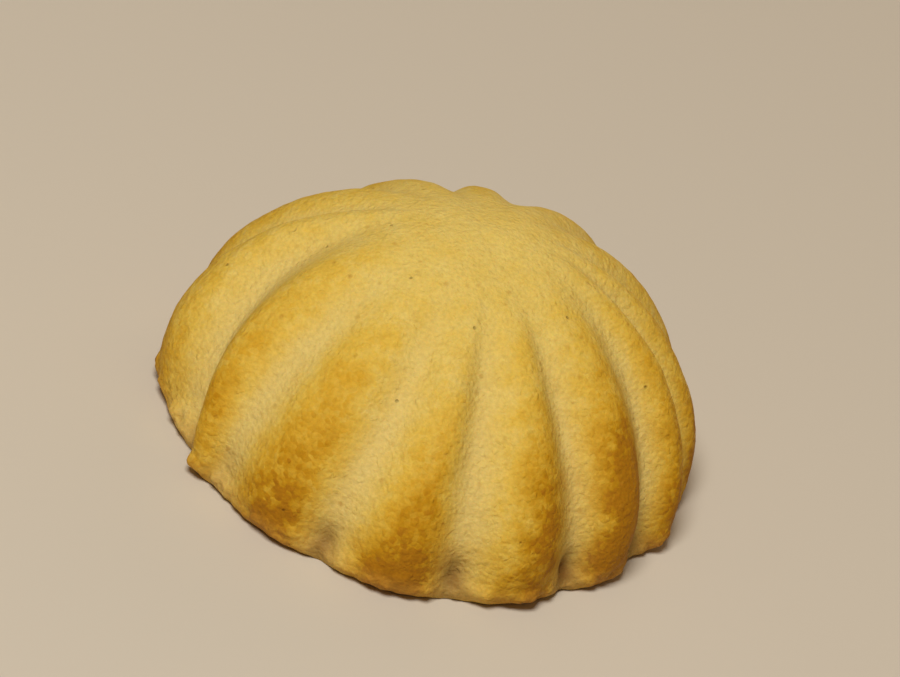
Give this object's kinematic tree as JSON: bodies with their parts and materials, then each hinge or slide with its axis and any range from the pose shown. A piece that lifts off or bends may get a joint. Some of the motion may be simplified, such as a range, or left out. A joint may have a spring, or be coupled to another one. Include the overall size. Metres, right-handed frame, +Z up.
{
  "type": "maamoul cookie",
  "caption": "Round fluted dome of baked shortbread dough with a flat base, the kind pressed in a wooden mould and filled.",
  "frame": {"origin": "middle of the flat base, where the cookie rests", "axes": "+Z up through the top of the dome, -Y towards the side that faces the viewer in the reference view"},
  "size_m": [0.0479, 0.0478, 0.0228],
  "materials": {
    "baked_dough": "matte, fine-grained golden shortbread, browner on the crests and towards the foot"
  },
  "bodies": {
    "root": {"maamoul_cookie": "baked_dough"}
  },
  "joints": []
}
